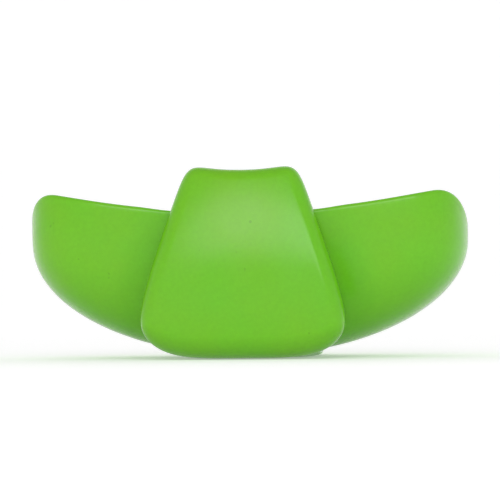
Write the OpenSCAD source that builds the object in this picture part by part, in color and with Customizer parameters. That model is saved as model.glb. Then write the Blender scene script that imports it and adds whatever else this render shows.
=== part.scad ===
// Clip-on vibration dampener for the bridge in a racket's throat.
// Two soft wings follow the bridge, and a saddle laps over its front and rear faces.
// +Z up, front towards -Y, origin at the middle of the flat base under the keel.

/* [Wings] */
// Width over both wing tips
overall_w = 80; // [76:1:84]
// Depth over the wings, front to rear
wing_d = 36.8; // [35:0.2:39]
// Wall thickness of the wings
wall = 2.4; // [2:0.1:2.8]
// Height of the flat middle of the keel line
keel_z = 1; // [0.8:0.1:1.4]
// Height of the widest point of the wings
tip_z = 21.3; // [20:0.1:22]
// Rim height at mid width
rim_z = 26.1; // [25.7:0.1:26.7]
// How far the rim climbs on its way to the tips
rim_rise = 3.8; // [3.4:0.2:4.4]
// Length of the rounded corner where the rim meets a tip
corner_l = 6; // [5:0.5:7]
// Height of that corner
corner_h = 7.5; // [6:0.5:7.5]

/* [Saddle] */
// Width of the front block across its tab
tab_w = 20; // [18:0.5:21]
// Width of the front block near its foot
foot_w = 39; // [36:0.5:40]
// Height to the top of the front tab
block_h = 34.3; // [33:0.1:35.5]
// How far the front block stands proud of the wings
front_proud = 5.6; // [4.6:0.2:6]
// How far the rear cheek stands proud of the wings
rear_proud = 2.6; // [2:0.2:3]
// Height to the top of the rear tab
rear_h = 31.9; // [31:0.1:33]
// Edge rounding of the cheeks
edge_r = 2.2; // [1.6:0.2:2.6]
// Thickness of the keel band's floor
floor_t = 3.2; // [3:0.1:3.4]
// Half width of the keel band
band_x = 16.5; // [15:0.5:17]

/* [Seat] */
// Radius of the bridge that the pads follow
bridge_r = 130; // [120:5:140]
// Height of the seat at mid width
seat_z = 20.7; // [20:0.1:20.9]
// Thickness of the seat pads
pad_t = 3; // [2.4:0.2:3.4]

/* [Hidden] */
skin = "yellowgreen";
gel = "palegreen";
tip_x = overall_w / 2;
half_d = wing_d / 2;
plan_power = 9;        // squareness of the wings seen from above
section_power = 3;      // squareness of the wings seen from the end
dip_z = 0.3;           // where the wings' lower curves would meet if the keel had no flat
edge_min = 0.4;        // half thickness of the blunt line at a wing tip
gap = 0.5;             // running gap between bodies
web_x = 8;             // half width of the saddle's inner webs
root_x = web_x + gap + 0.3;
root_lean = 6;         // lean of the wing root, so that a flexing wing clears the web
band_y = 14.4;         // half depth of the keel band
channel_y = half_d - wall;
band_h = 8;            // height of the keel band's ends, which cradle the wings
foot_clear = 0.7;      // how far the cheeks' feet stay off the ground
rear_tab_w = 14;       // width of the rear cheek across its tab
rear_foot_w = 31;      // and near its foot
post_y = 7;            // where the centre pad's webs stand
core_x = 5;            // half width of the damping core at its top
core_foot_x = 6;       // and at its bottom
core_t = 5.2;          // its depth into the front block
core_low = 9;          // height of its bottom
core_high = 29;        // height of its top
rings = 18;            // cross-sections along a wing
steps = 12;            // cells round a cross-section
far = 60;              // larger than any cut needs to be
lap = 0.1;             // how far a pad's edge bites into a wall

// Half depth of the wings at x, for a body inset all round by s
function half_depth(x, s) =
    max(edge_min, (half_d - s) * pow(max(0, 1 - pow(x / (tip_x - s), plan_power)), 1 / 2.2));

// Height of the wings' keel line at x: a flat middle, then a quarter ellipse up to the tip
function keel(x, s) =
    max(keel_z + s, tip_z - (tip_z - dip_z - s) * sqrt(max(0, 1 - pow(x / (tip_x - s), 2))));

// Height of the wings' rim at x: a shallow arc that drops round a corner at the tip
function rim(x) =
    let (d = max(0, (x - tip_x + corner_l) / corner_l))
    rim_z + rim_rise * pow(x / 37, 2) - corner_h * (1 - sqrt(max(0, 1 - d * d)));

// Height of the seat surface at x
function seat(x) = seat_z + bridge_r - sqrt(bridge_r * bridge_r - x * x);

// One cross-section, from the front rim round the keel to the rear rim
function section(x, s, top) = [for (j = [0:steps])
    let (a = 180 * j / steps, e = 2 / section_power)
    [x, -half_depth(x, s) * sign(cos(a)) * pow(abs(cos(a)), e),
     top - (top - keel(x, s)) * pow(sin(a), e)]];

// Half depth of the hollow at x and z
function hollow_y(x, z) =
    let (t = (rim(x) - z) / (rim(x) - keel(x, wall)))
    half_depth(x, wall) * pow(max(0, 1 - pow(t, section_power)), 1 / section_power);

// Two triangles for each cell of a grid of points, n + 1 rows of m + 1
function grid(n, m, first, flip) = [for (i = [0:n - 1], j = [0:m - 1])
    let (a = first + i * (m + 1) + j, b = a + 1, c = a + m + 1, d = c + 1)
    each flip ? [[a, b, d], [a, d, c]] : [[a, d, b], [a, c, d]]];

// Spacing along a wing that is finer towards the tip
function along(i, x0, x1) = x0 + (x1 - x0) * sin(90 * i / rings);

// The wings' outer form on one side, solid, from x0 to the tip and grown by g
module lobe(x0, g) {
    m = steps;
    points = [for (i = [0:rings]) each
        let (x = along(i, x0, tip_x + g)) section(x, -g, rim(min(x, tip_x)))];
    polyhedron(points, concat(
        grid(rings, m, 0, true),
        [for (i = [0:rings - 1]) each
            let (a = i * (m + 1), b = a + m, c = a + m + 1, d = c + m)
            [[a, c, b], [b, c, d]]],
        [[for (j = [0:m]) j]],
        [[for (j = [m:-1:0]) rings * (m + 1) + j]]));
}

// The open-topped shell of one wing, from x0 to the tip
module trough(x0) {
    m = steps;
    row = m + 1;
    inner = (rings + 1) * row;
    outer_points = [for (i = [0:rings]) each
        let (x = along(i, x0, tip_x)) section(x, 0, rim(x))];
    inner_points = [for (i = [0:rings]) each
        let (x = along(i, x0, tip_x - wall)) section(x, wall, rim(x))];
    last = rings * row;
    polyhedron(concat(outer_points, inner_points), concat(
        grid(rings, m, 0, true),
        grid(rings, m, inner, false),
        [for (i = [0:rings - 1]) each
            let (a = i * row, b = a + row, p = a + inner, q = p + row)
            [[a, b, q], [a, q, p], [a + m, q + m, b + m], [a + m, p + m, q + m]]],
        [for (j = [0:m - 1]) each
            [[j, inner + j + 1, j + 1], [j, inner + j, inner + j + 1]]],
        [[for (j = [m:-1:0]) last + j]],
        [[for (j = [0:m]) inner + last + j]],
        [[last, last + m, inner + last + m], [last, inner + last + m, inner + last]]));
}

module wing() {
    color(skin) difference() {
        trough(web_x);
        // room for the keel band's floor under the root
        translate([0, -half_d, -1])
            cube([band_x + gap, wing_d, floor_t + gap + 1]);
        // the root end leans outwards
        translate([root_x, 0, floor_t])
            rotate([0, root_lean, 0])
            translate([-far, -half_d - 1, -far])
            cube([far, wing_d + 2, 2 * far]);
    }
}

// A curved deck whose edges bite into the walls of the hollow
module deck(x0, x1, n) {
    points = [for (i = [0:n]) each
        let (x = x0 + (x1 - x0) * i / n, z = seat(x), b = z - pad_t,
             yt = hollow_y(x, z) + lap, yb = hollow_y(x, b) + lap)
        [[x, -yt, z], [x, yt, z], [x, yb, b], [x, -yb, b]]];
    polyhedron(points, concat(
        [for (i = [0:n - 1], j = [0:3])
            let (a = 4 * i + j, b = 4 * i + (j + 1) % 4)
            each [[a, b, b + 4], [a, b + 4, a + 4]]],
        [[3, 2, 1, 0]],
        [[for (j = [0:3]) 4 * n + j]]));
}

module seat_pad() {
    color(gel) deck(root_x + 3, tip_x - corner_l, 10);
}

// The centre pad: a curved deck on two webs that stand on the keel band
module centre_seat_pad() {
    pad_x = web_x - gap;
    pad_y = channel_y - gap;
    web_t = 3;
    color(gel) {
        difference() {
            translate([-pad_x, -pad_y, seat_z - pad_t])
                cube([2 * pad_x, 2 * pad_y, pad_t + 1]);
            translate([0, pad_y + 1, seat_z + bridge_r])
                rotate([90, 0, 0])
                cylinder(r = bridge_r, h = 2 * pad_y + 2, $fn = 200);
        }
        for (y = [-post_y, post_y])
            translate([-pad_x, y - web_t / 2, floor_t])
                cube([2 * pad_x, web_t, seat_z - pad_t - floor_t]);
    }
}

// Outline of a cheek seen from the front, with rounded corners, inset by s
module cheek_outline(top_w, bottom_w, h, s) {
    top_r = 3;
    foot_r = 4.6;
    hull() for (x = [-1, 1]) {
        translate([x * (top_w / 2 - top_r), h - top_r])
            circle(r = top_r - s, $fn = 32);
        translate([x * (bottom_w / 2 - foot_r), foot_clear + foot_r])
            circle(r = foot_r - s, $fn = 32);
    }
}

// A cheek seen from the front, facing -Y: a slab of depth t behind y = 0,
// with its outer edge rounded over edge_r
module cheek(top_w, bottom_w, h, t) {
    hull() for (a = [0:22.5:90])
        translate([0, t, 0])
            rotate([90, 0, 0])
            linear_extrude(t - edge_r * (1 - sin(a)))
            cheek_outline(top_w, bottom_w, h, edge_r * (1 - cos(a)));
}

// What the cheeks stay clear of: both wings, the channel between them, and the keel band
module cheek_room() {
    for (s = [0, 1]) mirror([s, 0, 0]) {
        lobe(web_x, gap);
        translate([web_x, -half_d - gap, rim_z - corner_h])
            cube([tip_x, 2 * (half_d + gap), block_h]);
    }
    translate([-web_x - 1, -channel_y, floor_t + gap])
        cube([2 * web_x + 2, 2 * channel_y, block_h]);
    translate([-foot_w, -band_y - gap, -1])
        cube([2 * foot_w, 2 * (band_y + gap), rim_z - corner_h]);
}

module front_block() {
    color(skin) difference() {
        translate([0, -half_d - front_proud, 0])
            cheek(tab_w, foot_w, block_h, half_d + front_proud - band_y);
        cheek_room();
        core_form();
    }
}

// The core's form: a block that tapers with the front block
module core_form() {
    translate([0, -channel_y, 0])
        rotate([90, 0, 0])
        linear_extrude(core_t)
        polygon([[-core_foot_x, core_low], [core_foot_x, core_low],
                 [core_x, core_high], [-core_x, core_high]]);
}

module damping_core() {
    color(gel) core_form();
}

module rear_cheek() {
    color(skin) difference() {
        rotate(180) translate([0, -half_d - rear_proud, 0])
            cheek(rear_tab_w, rear_foot_w, rear_h, half_d + rear_proud - band_y);
        cheek_room();
    }
}

module keel_band() {
    color(skin) difference() {
        translate([-band_x, -band_y, 0]) cube([2 * band_x, 2 * band_y, band_h]);
        intersection() {
            for (s = [0, 1]) mirror([s, 0, 0]) lobe(0, gap);
            translate([-tip_x, -half_d, floor_t]) cube([overall_w, wing_d, block_h]);
        }
    }
}

module left_wing() { mirror([1, 0, 0]) wing(); }
module right_wing() { wing(); }
module left_seat_pad() { mirror([1, 0, 0]) seat_pad(); }
module right_seat_pad() { seat_pad(); }

left_wing();
right_wing();
left_seat_pad();
right_seat_pad();
centre_seat_pad();
keel_band();
front_block();
damping_core();
rear_cheek();
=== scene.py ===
import math

import bmesh
import bpy
import numpy as np
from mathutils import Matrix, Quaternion, Vector


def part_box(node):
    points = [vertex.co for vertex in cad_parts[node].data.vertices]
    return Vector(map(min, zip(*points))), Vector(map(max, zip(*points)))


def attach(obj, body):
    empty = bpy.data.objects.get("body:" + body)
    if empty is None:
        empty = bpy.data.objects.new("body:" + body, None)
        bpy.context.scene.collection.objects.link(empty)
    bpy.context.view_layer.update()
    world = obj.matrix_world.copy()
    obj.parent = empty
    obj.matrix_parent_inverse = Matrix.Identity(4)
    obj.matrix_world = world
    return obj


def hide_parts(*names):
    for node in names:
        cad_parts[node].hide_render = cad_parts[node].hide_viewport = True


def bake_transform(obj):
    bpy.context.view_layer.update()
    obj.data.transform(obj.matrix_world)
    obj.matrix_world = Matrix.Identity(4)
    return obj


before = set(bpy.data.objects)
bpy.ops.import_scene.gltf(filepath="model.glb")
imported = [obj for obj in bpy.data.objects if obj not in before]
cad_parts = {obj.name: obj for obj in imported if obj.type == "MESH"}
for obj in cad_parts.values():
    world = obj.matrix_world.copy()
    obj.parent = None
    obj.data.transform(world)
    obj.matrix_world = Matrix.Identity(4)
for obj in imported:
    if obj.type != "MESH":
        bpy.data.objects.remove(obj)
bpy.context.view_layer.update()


# ---------------------------------------------------------------------------------------------
# Camera. The part stands on a pale floor and is seen almost square on, from a little to its
# right and a little below its middle, from a good forearm's length away. Sizes are in mm.

MM = 0.001
view_distance = 400.0
view_turn = 0.0761          # radians to the right of square on
view_rise = -0.025          # radians above level
view_roll = 0.0090          # radians that the camera is turned clockwise
view_width = 92.25          # what the picture's width covers at the aim point
aim = np.array([0.0, 0.0, 18.7])

camera_data = bpy.data.cameras.new("view")
camera = bpy.data.objects.new("view", camera_data)
bpy.context.collection.objects.link(camera)
bpy.context.scene.camera = camera
camera.location = MM * (aim + view_distance * np.array([
    math.sin(view_turn) * math.cos(view_rise),
    -math.cos(view_turn) * math.cos(view_rise),
    math.sin(view_rise)]))
camera.rotation_mode = "QUATERNION"
turn = (Vector(MM * aim) - camera.location).to_track_quat("-Z", "Y")
camera.rotation_quaternion = turn @ Quaternion((0, 0, 1), -view_roll)
camera_data.sensor_width = 36.0
camera_data.lens = camera_data.sensor_width * view_distance / view_width
camera_data.shift_x = -0.001
camera_data.shift_y = 0.011
camera_data.clip_start = 10 * MM


# ---------------------------------------------------------------------------------------------
# Wings. Two hollow, open-topped lobes of soft lime rubber, moulded in one shot with a wall of
# even thickness and a rounded rim. Each grows out of the saddle at its root and bends there.

def box_mm(node):
    """Lowest and highest corner of a CAD node, in millimetres."""
    low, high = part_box(node)
    return np.array(low) / MM, np.array(high) / MM


tip_x, half_d = box_mm("right_wing")[1][:2]
wall = 2.4
keel_z, dip_z = 1.0, 0.3    # the keel's flat middle, and where its curve would reach without it
tip_z = 21.3                # height of the wings' widest point
rim_z, rim_rise, rim_x = 26.1, 3.8, 37.0    # rim's height in the middle, and its rise at rim_x
corner_l, corner_h = 6.0, 7.5   # the rounded drop of the rim at a tip
plan_power, plan_round = 9.0, 2.2
section_power = 3.0
wing_root = 8.05            # the wings' root ends butt against the saddle's inner webs


def signed_power(value, power):
    """The size of a value raised to a power, with the value's own sign."""
    return np.sign(value) * np.abs(value) ** power


def surface(x, y, z):
    """Grid of points from three arrays, each spread over the same rows and columns."""
    return np.stack(np.broadcast_arrays(x, y, z), axis=-1)


def half_depth(x, inset=0.0):
    """Half the depth of the lobes at x: a flat superellipse that closes at the tip."""
    u = np.clip(np.abs(x) / (tip_x - inset), 0, 1)
    return (half_d - inset) * (1 - u ** plan_power) ** (1 / plan_round)


def keel(x, inset=0.0):
    """Height of the lobes' lowest line at x: flat in the middle, then a quarter of an ellipse
    that rises to the tip."""
    u = np.clip(np.abs(x) / (tip_x - inset), 0, 1)
    return np.maximum(keel_z + inset, tip_z - (tip_z - dip_z - inset) * np.sqrt(1 - u ** 2))


def rim(x):
    """Height of the rim at x: a shallow parabola that drops round a corner at the tip."""
    d = np.clip((np.abs(x) - tip_x + corner_l) / corner_l, 0, 1)
    return rim_z + rim_rise * (x / rim_x) ** 2 - corner_h * (1 - np.sqrt(1 - d ** 2))


def front_half_width(z):
    """Half width of the front block: a cubic in height, which makes a slender bell."""
    mid_z, mid_width, reach = 16.7, 15.75, 16.6
    t = (z - mid_z) / reach
    return mid_width - 5.2 * t - 1.2 * t ** 2 + 0.95 * t ** 3


def rear_half_width(z):
    """Half width of the rear cheek: a parabola in height, which makes nearly straight sides."""
    mid_z, mid_width, reach = 15.3, 11.8, 16.0
    t = (z - mid_z) / reach
    return mid_width - 4.5 * t - 0.3 * t ** 2


def neck(x, z, half_width):
    """How far a lobe's surface draws in beside a cheek: full depth up to the cheek's edge, then a
    raised cosine out to nothing. It fades towards the rim."""
    reach, depth, fade_h, least = 6.5, 1.15, 13.0, 0.25
    away = np.clip((np.abs(x) - half_width(z)) / reach, 0, 1)
    fade = np.clip((rim(x) - z) / fade_h, 0, 1)
    share = least + (1 - least) * fade * (2 - fade)
    return depth * share * (0.5 + 0.5 * np.cos(np.pi * away))


def new_piece(name, grids, material):
    """One mesh from grids of points in mm. Each grid is (points, closed): neighbouring rows are
    joined by quads, a closed grid's rows are loops, and its first and last rows get a face."""
    verts, faces = [], []
    start = 0
    for points, closed in grids:
        n, m = points.shape[:2]
        index = start + np.arange(n * m).reshape(n, m)
        right = np.roll(index, -1, axis=1)
        quads = np.stack([index[:-1], right[:-1], right[1:], index[1:]], axis=-1)
        if not closed:
            quads = quads[:, :-1]
        faces += quads.reshape(-1, 4).tolist()
        if closed:
            faces += [index[0].tolist(), index[-1][::-1].tolist()]
        verts.append(points.reshape(-1, 3))
        start += n * m
    mesh = bpy.data.meshes.new(name)
    mesh.from_pydata((np.concatenate(verts) * MM).tolist(), [], faces)
    bm = bmesh.new()
    bm.from_mesh(mesh)
    bmesh.ops.remove_doubles(bm, verts=bm.verts, dist=0.002 * MM)
    bmesh.ops.dissolve_degenerate(bm, edges=bm.edges, dist=0.001 * MM)
    bmesh.ops.recalc_face_normals(bm, faces=bm.faces)
    bm.to_mesh(mesh)
    bm.free()
    mesh.polygons.foreach_set("use_smooth", np.ones(len(mesh.polygons), bool))
    mesh.materials.append(material)
    obj = bpy.data.objects.new(name, mesh)
    bpy.context.collection.objects.link(obj)
    return obj


def moulded_rubber(name, colour, roughness, seed):
    """Satin moulded rubber: slow and fine noise shift its colour a little, fine noise breaks its
    gloss, a hair-fine bump is the mould's texture, and sparse dark specks are dust and nicks. The
    more a surface faces down, the more its colour is darkened, as painted shade on the undersides."""
    material = bpy.data.materials.new(name)
    material.use_nodes = True
    nodes, links = material.node_tree.nodes, material.node_tree.links
    shader = nodes["Principled BSDF"]
    place = nodes.new("ShaderNodeTexCoord")
    shift = nodes.new("ShaderNodeMapping")
    shift.inputs["Location"].default_value = (seed * 0.37, seed * 0.11, seed * 0.23)
    links.new(place.outputs["Object"], shift.inputs["Vector"])

    def noise(scale, detail, rough=0.5):
        """Noise of so many cycles a metre over the piece."""
        node = nodes.new("ShaderNodeTexNoise")
        node.inputs["Scale"].default_value = scale
        node.inputs["Detail"].default_value = detail
        node.inputs["Roughness"].default_value = rough
        links.new(shift.outputs["Vector"], node.inputs["Vector"])
        return node.outputs["Fac"]

    def ramp(source, low, high, start, end):
        """A value from start to end as the source goes from low to high."""
        node = nodes.new("ShaderNodeMapRange")
        node.inputs["From Min"].default_value = low
        node.inputs["From Max"].default_value = high
        node.inputs["To Min"].default_value = start
        node.inputs["To Max"].default_value = end
        links.new(source, node.inputs["Value"])
        return node.outputs["Result"]

    def mix(kind, factor, a, b):
        """Two colours blended or multiplied, each a fixed value or another node's output."""
        node = nodes.new("ShaderNodeMix")
        node.data_type = "RGBA"
        node.blend_type = kind
        factor_socket, a_socket, b_socket, colour_socket = 0, 6, 7, 2
        for socket, value in ((factor_socket, factor), (a_socket, a), (b_socket, b)):
            if isinstance(value, (float, tuple)):
                node.inputs[socket].default_value = value
            else:
                links.new(value, node.inputs[socket])
        return node.outputs[colour_socket]

    warm = tuple(c * k for c, k in zip(colour, (1.07, 0.985, 0.9))) + (1.0,)
    cool = tuple(c * k for c, k in zip(colour, (0.93, 1.015, 1.1))) + (1.0,)
    mottled = mix("MIX", ramp(noise(55.0, 3.0), 0.35, 0.65, 0.0, 1.0), warm, cool)
    grain = ramp(noise(1400.0, 4.0, 0.6), 0.3, 0.7, 0.96, 1.04)
    grained = mix("MULTIPLY", 1.0, mottled, grain)
    speck = ramp(noise(900.0, 1.0), 0.77, 0.81, 0.0, 0.4)
    dark = tuple(c * 0.42 for c in colour) + (1.0,)
    split = nodes.new("ShaderNodeSeparateXYZ")
    links.new(place.outputs["Normal"], split.inputs["Vector"])
    # Painted shade: the base colour is darkened by up to about a quarter where the surface faces down.
    painted_underside_shade = ramp(split.outputs["Z"], -0.95, -0.2, 0.73, 1.0)
    shaded = mix("MULTIPLY", 1.0, grained, painted_underside_shade)
    links.new(mix("MIX", speck, shaded, dark), shader.inputs["Base Color"])
    spread = 0.045
    gloss = ramp(noise(260.0, 5.0, 0.6), 0.3, 0.7, roughness - spread, roughness + spread)
    links.new(gloss, shader.inputs["Roughness"])
    bump = nodes.new("ShaderNodeBump")
    bump.inputs["Strength"].default_value = 0.35
    bump.inputs["Distance"].default_value = 0.03 * MM
    links.new(noise(5200.0, 2.0), bump.inputs["Height"])
    links.new(bump.outputs["Normal"], shader.inputs["Normal"])
    shader.inputs["IOR"].default_value = 1.39
    shader.inputs["Subsurface Weight"].default_value = 0.12
    shader.inputs["Subsurface Radius"].default_value = (0.5, 1.0, 0.2)
    shader.inputs["Subsurface Scale"].default_value = 0.6 * MM
    return material


lime = (0.158, 0.502, 0.011)
lime_rubber = moulded_rubber("lime_rubber", lime, 0.20, 1.0)


def wing(name, side):
    """The shell of a wing as closed loops from the root to the tip. A loop runs down and up the
    outer section, over the rim in an arch, down and up the inner section, and back over."""
    rows, outer_n, inner_n, cap_n = 110, 120, 72, 21
    crowding = 0.9              # the rows crowd towards the tip
    run = np.sin(np.linspace(0, np.pi / 2, rows)) ** crowding
    x_out = wing_root + (tip_x - wing_root) * run
    x_in = wing_root + (tip_x - wall - wing_root) * run
    lip = wall / 2

    def section(x, inset, count):
        """A superellipse section with its points about evenly spaced along the curve."""
        fine = np.linspace(0, np.pi, 4001)
        power = 2 / section_power
        curve = np.stack([half_d * signed_power(np.cos(fine), power),
                          (rim_z - keel_z) * np.sin(fine) ** power])
        length = np.concatenate([[0], np.cumsum(np.linalg.norm(np.diff(curve), axis=0))])
        a = np.interp(np.linspace(0, length[-1], count), length, fine)[None, :]
        top = (rim(x) - lip)[:, None]
        y = -half_depth(x, inset)[:, None] * signed_power(np.cos(a), power)
        z = top - (top - keel(x, inset)[:, None]) * np.sin(a) ** power
        return surface(x[:, None], y, z)

    def cap(a, b):
        """Squarish arch from points a over to points b, which gives the rim two tight edges."""
        t = np.linspace(0, np.pi, cap_n + 2)[1:-1]
        squareness = 0.45
        across = signed_power(np.cos(t), squareness)[None, :, None]
        rise = (np.sin(t) ** squareness)[None, :, None]
        middle, arm = (a + b) / 2, (a - b) / 2
        up = np.linalg.norm(arm[:, :2], axis=1)[:, None, None] * np.array([0, 0, 1.0])
        return middle[:, None] + arm[:, None] * across + up * rise

    outer = section(x_out, 0.0, outer_n)
    inner = section(x_in, wall, inner_n)[:, ::-1]
    x, y, z = outer[..., 0], outer[..., 1], outer[..., 2]
    draw = np.where(y < 0, neck(x, z, front_half_width), neck(x, z, rear_half_width))
    upright = np.clip(np.abs(y) / np.maximum(half_depth(x), 0.01), 0, 1) ** 2
    outer[..., 1] = y - np.sign(y) * draw * upright
    rear_cap = cap(outer[:, -1], inner[:, 0])
    front_cap = cap(inner[:, -1], outer[:, 0])
    loop = np.concatenate([outer, rear_cap, inner, front_cap], axis=1)
    return new_piece(name, [(loop * np.array([side, 1, 1]), True)], lime_rubber)


for name, side in (("left_wing", -1), ("right_wing", 1)):
    shell = wing("wing_shell_" + name.split("_")[0], side)
    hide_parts(name)
    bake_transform(shell)


# ---------------------------------------------------------------------------------------------
# Front block. The thick trapezoid cheek of the saddle, solid soft rubber with a crowned face and
# well rounded edges. It laps over both wings' roots, and its top is the tab that grips the frame.

front_proud = -box_mm("front_block")[0][1] - half_d
foot_y = 14.45              # the cheeks' feet meet the keel band here
web_half = 7.95             # half width of the slab that closes the channel
web_foot = 3.8              # height of that slab's lower edge
channel_half = half_d - wall
hair = 0.08                 # clearance of a cheek's rear from the wings
front_bite, rear_bite = 1.2, 0.8    # how far the slabs reach past the wings' sides into the cheeks


def closed_outline(half_width, top_z, bottom_z, top_square, foot_square, count):
    """A cheek's outline seen from the front: a superellipse between two level curves, whose
    half width changes with height. Points are evenly spaced along it, with smoothed normals."""
    fine_n, turns = 6001, 12    # width and height depend on each other, so they settle in turns
    a = np.linspace(0, 2 * np.pi, fine_n)[:-1]
    power = np.where(np.sin(a) > 0, 2 / top_square, 2 / foot_square)
    across = signed_power(np.cos(a), power)
    rise = signed_power(np.sin(a), power)
    middle = (top_z(0) + bottom_z(0)) / 2
    x = across * half_width(middle)
    for _ in range(turns):
        z = middle + np.where(rise > 0, rise * (top_z(x) - middle), rise * (middle - bottom_z(x)))
        x = across * half_width(z)
    points = np.stack([x, z], axis=1)
    closed = np.concatenate([points, points[:1]])
    length = np.concatenate([[0], np.cumsum(np.linalg.norm(np.diff(closed, axis=0), axis=1))])
    along = np.linspace(0, length[-1], count + 1)[:-1]
    even = np.stack([np.interp(along, length, closed[:, i]) for i in (0, 1)], axis=1)
    tangent = np.roll(even, -1, axis=0) - np.roll(even, 1, axis=0)
    normal = np.stack([tangent[:, 1], -tangent[:, 0]], axis=1)
    smooth = sum(np.roll(normal, k, axis=0) for k in range(-3, 4))
    return even, smooth / np.linalg.norm(smooth, axis=1)[:, None]


def cheek_grid(outline, normals, face_y, back_y, edges, middle_z):
    """A cheek as rings about its middle: out over the face, round the edge, back along the side
    and in over the rear. The edges' radii, at the top, sides and foot, blend round the corners,
    and each arc starts at the slope that the face has there. Depth is positive outwards."""
    face_n, edge_n, side_n, rear_n, crowding = 34, 15, 9, 30, 0.85
    middle = np.array([0.0, middle_z])
    top_r, side_r, foot_r = edges
    upright = np.where(normals[:, 1] > 0, top_r, foot_r)
    r = (side_r * normals[:, 0] ** 2 + upright * normals[:, 1] ** 2)[:, None]
    inset, step = outline - normals * r, 0.2
    outer, inner = inset + normals * step, inset - normals * step
    slope = (face_y(inner[:, 0], inner[:, 1]) - face_y(outer[:, 0], outer[:, 1])) / (2 * step)
    start = np.arctan(slope)[:, None]
    inset = outline - normals * r * (1 - np.sin(start))
    rings = []
    for s in np.linspace(0, 1, face_n) ** crowding:
        xz = middle + s * (inset - middle)
        rings.append(np.column_stack([xz[:, 0], face_y(xz[:, 0], xz[:, 1]), xz[:, 1]]))
    rim_y = rings[-1][:, 1]
    for s in np.linspace(0, 1, edge_n)[1:]:
        a = start + s * (np.pi / 2 - start)
        xz = inset + normals * r * (np.sin(a) - np.sin(start))
        drop = r * (np.cos(start) - np.cos(a))
        rings.append(np.column_stack([xz[:, 0], rim_y - drop[:, 0], xz[:, 1]]))
    side_y = rings[-1][:, 1]
    land_y = back_y(outline[:, 0], outline[:, 1])
    for s in np.linspace(0, 1, side_n)[1:]:
        rings.append(np.column_stack([outline[:, 0], side_y + s * (land_y - side_y), outline[:, 1]]))
    for s in 1 - np.linspace(0, 1, rear_n)[1:]:
        xz = middle + s * (outline - middle)
        rings.append(np.column_stack([xz[:, 0], back_y(xz[:, 0], xz[:, 1]), xz[:, 1]]))
    return np.stack(rings)


def lobe_y(x, z, inset=0.0):
    """Half depth of the lobes' surface at x and height z, a superellipse section
    between the rim and the keel, and zero below the keel."""
    top = rim(x)
    t = np.clip((top - z) / (top - keel(x, inset)), 0, 1)
    return half_depth(x, inset) * (1 - t ** section_power) ** (1 / section_power)


def behind(half_width):
    """How far out the rear of a cheek lies: a hair outside the wings, drawn in where they are,
    or on the keel band's end, whichever is further out."""
    def land_y(x, z):
        y = lobe_y(x, z)
        drawn_in = neck(x, z, half_width) * (y / half_depth(x)) ** 2
        return np.maximum(foot_y, y - drawn_in + hair)
    return land_y


def front_top(x):
    """Height of the tab's top edge: a parabola, which makes a shallow dip."""
    dip_top, dip_half = 33.3, 9.0
    return dip_top + (x / dip_half) ** 2


def front_bottom(x):
    """Height of the foot's edge: a fourth power, nearly level and rising at the corners."""
    lowest, corner_rise, corner_x = 0.15, 2.2, 17.0
    return lowest + corner_rise * (np.abs(x) / corner_x) ** 4


def front_face(x, z):
    """Depth of the face: most proud a little below half its height, and falling away as
    parabolas to the tab, to the foot and, less, to both sides."""
    proud_z, tab_run, crown = 13.0, 20.0, 0.9
    foot_fall, tab_fall = 1.5, 2.6
    up = z - proud_z
    fall = np.where(up < 0, foot_fall * (up / proud_z) ** 2, tab_fall * (up / tab_run) ** 2)
    return half_d + front_proud - fall - crown * (x / front_half_width(z)) ** 2


def level(value):
    """The same width, height or depth everywhere."""
    return lambda *place: value + 0 * place[0]


def web_grid(half_width, high, inner, outer):
    """An upright rounded slab between two depths, which closes the saddle's channel."""
    edge, squareness = 0.7, 14.0
    web_outline, web_normals = closed_outline(
        level(half_width), level(high), level(web_foot), squareness, squareness, count=160)
    return cheek_grid(web_outline, web_normals, level(-inner), level(-outer),
                      edges=(edge, edge, edge), middle_z=(web_foot + high) / 2)


outline, normals = closed_outline(
    front_half_width, front_top, front_bottom, top_square=9.0, foot_square=7.0, count=264)
front_grid = cheek_grid(outline, normals, front_face, behind(front_half_width),
                        edges=(2.4, 3.0, 5.0), middle_z=17.0)
front_grid[:, :, 1] *= -1
front_web = web_grid(web_half, high=32.5, inner=channel_half, outer=half_d + front_bite)
front_block = new_piece("front_block_body", [(front_grid, True), (front_web, True)], lime_rubber)
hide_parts("front_block")
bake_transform(front_block)


# ---------------------------------------------------------------------------------------------
# Rear cheek. The saddle's back half, in the same rubber: a thinner, narrower cheek with a lower
# tab, which springs back so that the part can be pushed over the frame.

_, rear_y, rear_z = box_mm("rear_cheek")[1]
rear_foot = 0.7             # height of its lower edge


def rear_top(x):
    """Height of the rear tab's top edge: a parabola, which makes a very shallow dip."""
    dip, dip_rise, dip_half = 0.5, 0.4, 8.0
    return rear_z - dip + dip_rise * (x / dip_half) ** 2


def rear_face(x, z):
    """Depth of the rear face: it falls away as parabolas to the tab and the foot and, less, to
    both sides."""
    proud_z, end_fall, side_fall = 20.0, 0.9, 0.5
    up, across = (z - proud_z) / proud_z, x / rear_half_width(z)
    return rear_y - end_fall * up ** 2 - side_fall * across ** 2


outline, normals = closed_outline(
    rear_half_width, rear_top, level(rear_foot), top_square=8.0, foot_square=7.0, count=240)
rear_grid = cheek_grid(outline, normals, rear_face, behind(rear_half_width),
                       edges=(1.4, 1.4, 2.2), middle_z=16.0)
rear_web = web_grid(web_half - 1.2, high=rear_z - 1.0, inner=channel_half, outer=half_d + rear_bite)
rear_web[:, :, 1] *= -1
rear_cheek = new_piece("rear_cheek_body", [(rear_grid, True), (rear_web, True)], lime_rubber)
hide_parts("rear_cheek")
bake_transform(rear_cheek)


# ---------------------------------------------------------------------------------------------
# Keel band. The floor of the saddle, the same rubber: a thin curved plate with a flat underside
# that cradles the wings' roots, joins the two cheeks and is what the part stands on.

_, band_y, band_z = box_mm("keel_band")[1]
band_end = 13.0             # it stops short under the wings' roots, out of sight from the front


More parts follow.
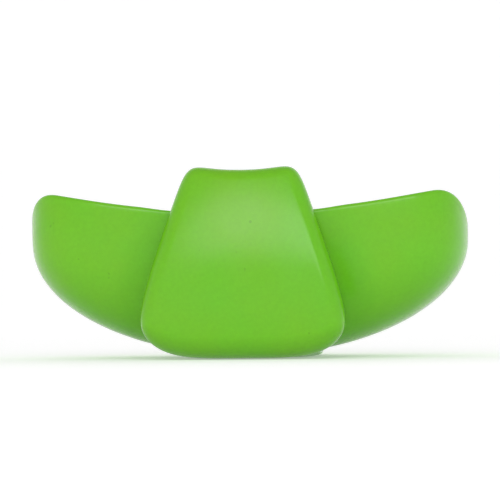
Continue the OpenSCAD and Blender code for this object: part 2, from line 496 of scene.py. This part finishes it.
def sole(x, y):
    """Height of the band's underside: flat in the middle, rising in an arc to its ends and as a
    parabola towards the cheeks."""
    arc_run, arc_rise = 5.0, 0.7
    flat_y, cheek_rise = 5.0, 1.4
    d = np.clip((np.abs(x) - (band_end - arc_run)) / arc_run, 0, 1)
    e = np.clip((np.abs(y) - flat_y) / (band_y - flat_y), 0, 1)
    return arc_rise * (1 - np.sqrt(1 - d ** 2)) + cheek_rise * e ** 2


def lobe_z(x, y):
    """Height of the lobes' surface at x and half depth y, by the same superellipse."""
    t = np.clip(np.abs(y) / half_depth(x), 0, 1)
    return rim(x) - (rim(x) - keel(x)) * (1 - t ** section_power) ** (1 / section_power)


def keel_band():
    """Closed loops along the depth. A loop runs along the underside, round the end, and back
    along the wings' underside, a hair below it."""
    bulge, clearance, least_t = 0.5, 0.06, 0.3
    end_x = band_end - bulge
    y = np.linspace(-band_y, band_y, 65)[:, None]
    x = end_x * np.sin(np.linspace(-1, 1, 81) * np.pi / 2)[None, :]
    low = sole(x, y)
    top = np.maximum(np.minimum(lobe_z(x, y), band_z) - clearance, low + least_t)
    a = np.linspace(-np.pi / 2, np.pi / 2, 11)[None, 1:-1]
    middle, half = (low[:, -1:] + top[:, -1:]) / 2, (top[:, -1:] - low[:, -1:]) / 2
    bulge_x, bulge_z = end_x + bulge * np.cos(a), middle + half * np.sin(a)
    bottom = surface(x, y, low)
    right = surface(bulge_x, y, bulge_z)
    upper = surface(x[:, ::-1], y, top[:, ::-1])
    left = surface(-bulge_x, y, bulge_z[:, ::-1])
    return np.concatenate([bottom, right, upper, left], axis=1)


band = new_piece("keel_band_body", [(keel_band(), True)], lime_rubber)
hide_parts("keel_band")
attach(band, "saddle")


# ---------------------------------------------------------------------------------------------
# Seat pads. Three decks of a softer, slightly more matt gel, cast to the curve of the frame's
# bridge and pressed into the wings and the saddle. Their tops carry shallow grip ribs.

bridge_r = 130.0
seat_z = 20.7
pad_t = 3.0
rib_pitch, rib_h = 2.6, 0.22
soft_gel = moulded_rubber("soft_gel", (0.180, 0.530, 0.022), 0.46, 2.0)


def seat(x):
    """Height of the seat at x: an arc of the bridge's radius."""
    return seat_z + bridge_r - np.sqrt(bridge_r ** 2 - x ** 2)


def deck_grid(x, edge_y):
    """A curved deck as closed loops along x. A loop is a flat strip with rounded edges, and its
    top rises and falls along x in ribs that fade out before the edges."""
    rib_reach, rib_fade, edge = 0.8, 0.14, 0.6
    across = np.linspace(-1, 1, 41)
    fade = 1 - np.clip((np.abs(across) - rib_reach) / rib_fade, 0, 1) ** 2
    ribs = rib_h * np.cos(2 * np.pi * x / rib_pitch)[:, None] * fade[None, :]
    x, z, width = x[:, None], seat(x)[:, None], edge_y(x)[:, None]
    flat = np.maximum(width - edge, width * 0.5)
    top = surface(x, across[None, :] * flat, z - rib_h + ribs)
    low = surface(x, -across[None, :] * flat, z - pad_t)
    a = np.linspace(np.pi / 2, -np.pi / 2, 9)[None, 1:-1]
    side_y = flat + (width - flat) * np.cos(a)
    middle_z = z - (pad_t + rib_h) / 2
    half_t = (pad_t - rib_h) / 2
    right = surface(x, side_y, middle_z + half_t * np.sin(a))
    left = surface(x, -side_y, middle_z - half_t * np.sin(a))
    return np.concatenate([top, right, low, left], axis=1)


def pad_edge(x):
    """Half depth of a wing's pad: the hollow's at half the pad's thickness, less a gap."""
    gap, least = 0.1, 0.05
    return np.maximum(lobe_y(x, seat(x) - pad_t / 2, wall) - gap, least)


root_gap, tip_gap = 0.3, 0.15
pad_root, pad_end = wing_root + root_gap, tip_x - wall - tip_gap
pad_x = pad_root + (pad_end - pad_root) * np.sin(np.linspace(0, np.pi / 2, 130))
pad_grid = deck_grid(pad_x, pad_edge)

for name, side in (("left", -1), ("right", 1)):
    pad = new_piece("seat_pad_" + name, [(pad_grid * np.array([side, 1, 1]), True)], soft_gel)
    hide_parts(name + "_seat_pad")
    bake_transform(pad)

centre_x, centre_y, _ = box_mm("centre_seat_pad")[1]
centre_deck = deck_grid(np.linspace(-web_half, web_half, 61), level(centre_y))


def post_grid(middle_y):
    """A web under the centre deck, as upright loops with rounded corners."""
    half_t, foot_z, bite, squareness = 1.5, 2.2, 0.4, 2 / 9
    a = np.linspace(0, 2 * np.pi, 49)[None, :-1]
    across = signed_power(np.cos(a), squareness) * centre_x
    deep = signed_power(np.sin(a), squareness) * half_t
    z = np.linspace(foot_z, seat_z - pad_t + bite, 12)[:, None]
    return surface(across, middle_y + deep, z)


post_y = 7.0
centre_grids = [(centre_deck, True), (post_grid(-post_y), True), (post_grid(post_y), True)]
centre = new_piece("seat_pad_centre", centre_grids, soft_gel)
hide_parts("centre_seat_pad")
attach(centre, "saddle")


# ---------------------------------------------------------------------------------------------
# Damping core. A block of the same gel, cast into the hollow of the front block. Only its inner
# face shows, as a slightly raised oblong in the wall of the channel.

core_low, core_high = box_mm("damping_core")


def core_half_width(z):
    """Half width of the core: straight sides that taper a little to its top."""
    foot_half, taper = 5.5, 0.5
    return foot_half - taper * (z - core_low[2]) / (core_high[2] - core_low[2])


def core_face(x, z):
    """Depth of the core's inner face: slightly proud of the channel's wall, and crowned as a
    parabola."""
    proud, crown, crown_half = 0.25, 0.1, 5.0
    return -channel_half + proud - crown * (x / crown_half) ** 2


outline, normals = closed_outline(
    core_half_width, level(core_high[2]), level(core_low[2]), top_square=9.0, foot_square=9.0, count=140)
core_grid = cheek_grid(outline, normals, core_face, level(core_low[1]),
                       edges=(0.6, 0.6, 0.6), middle_z=19.0)
core = new_piece("damping_core_gel", [(core_grid, True)], soft_gel)
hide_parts("damping_core")
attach(core, "front_cheek")


# ---------------------------------------------------------------------------------------------
# Floor and light. A white paper sweep, one wide soft box above and in front, a little to the
# right, and a bright even room.

def white_paper():
    """Matt white paper with a faint glow, as if lit from behind."""
    material = bpy.data.materials.new("white_paper")
    material.use_nodes = True
    white = (0.9, 0.9, 0.9, 1.0)
    shader = material.node_tree.nodes["Principled BSDF"]
    shader.inputs["Base Color"].default_value = white
    shader.inputs["Roughness"].default_value = 0.9
    shader.inputs["Specular IOR Level"].default_value = 0.1
    shader.inputs["Emission Color"].default_value = white
    shader.inputs["Emission Strength"].default_value = 0.34
    return material


def paper_sweep():
    """Level floor that curves up, round a quarter circle, into a wall behind the part."""
    reach, back, bend, height = 1600.0, 900.0, 350.0, 1600.0
    a = np.linspace(0, np.pi / 2, 25)
    x = np.array([-reach, reach])
    y = np.concatenate([[-reach], back - bend + bend * np.sin(a), [back]])
    z = np.concatenate([[0], bend - bend * np.cos(a), [height]])
    return surface(x[None, :], y[:, None], z[:, None])


paper = new_piece("paper_sweep", [(paper_sweep(), False)], white_paper())


def soft_box(name, place, aim_at, width, height, power):
    """A rectangular light, in metres and watts, that faces the aim point."""
    data = bpy.data.lights.new(name, "AREA")
    data.shape = "RECTANGLE"
    data.size, data.size_y = width, height
    data.energy = power
    light = bpy.data.objects.new(name, data)
    bpy.context.collection.objects.link(light)
    light.location = place
    towards = Vector(aim_at) - light.location
    light.rotation_euler = towards.to_track_quat("-Z", "Y").to_euler()


def bright_room(nadir, horizon, zenith, strength):
    """A grey world whose brightness runs from the nadir over the horizon to the zenith."""
    world = bpy.data.worlds.new("bright_room")
    world.use_nodes = True
    nodes, links = world.node_tree.nodes, world.node_tree.links
    direction = nodes.new("ShaderNodeTexCoord")
    split = nodes.new("ShaderNodeSeparateXYZ")
    links.new(direction.outputs["Generated"], split.inputs["Vector"])
    height = nodes.new("ShaderNodeMapRange")
    height.inputs["From Min"].default_value = -1.0
    links.new(split.outputs["Z"], height.inputs["Value"])
    shade = nodes.new("ShaderNodeValToRGB")
    stops = shade.color_ramp.elements
    stops.new(0.5)
    for stop, grey in zip(stops, (nadir, horizon, zenith)):
        stop.color = (grey, grey, grey, 1)
    links.new(height.outputs["Result"], shade.inputs["Fac"])
    links.new(shade.outputs["Color"], nodes["Background"].inputs["Color"])
    nodes["Background"].inputs["Strength"].default_value = strength
    return world


soft_box("key_soft_box", place=(0.06, -0.58, 0.22), aim_at=(0, 0, 0.022),
         width=0.46, height=0.185, power=0.93)
bpy.context.scene.world = bright_room(nadir=0.3, horizon=1.0, zenith=0.55, strength=0.88)
bpy.context.scene.view_settings.view_transform = "Standard"
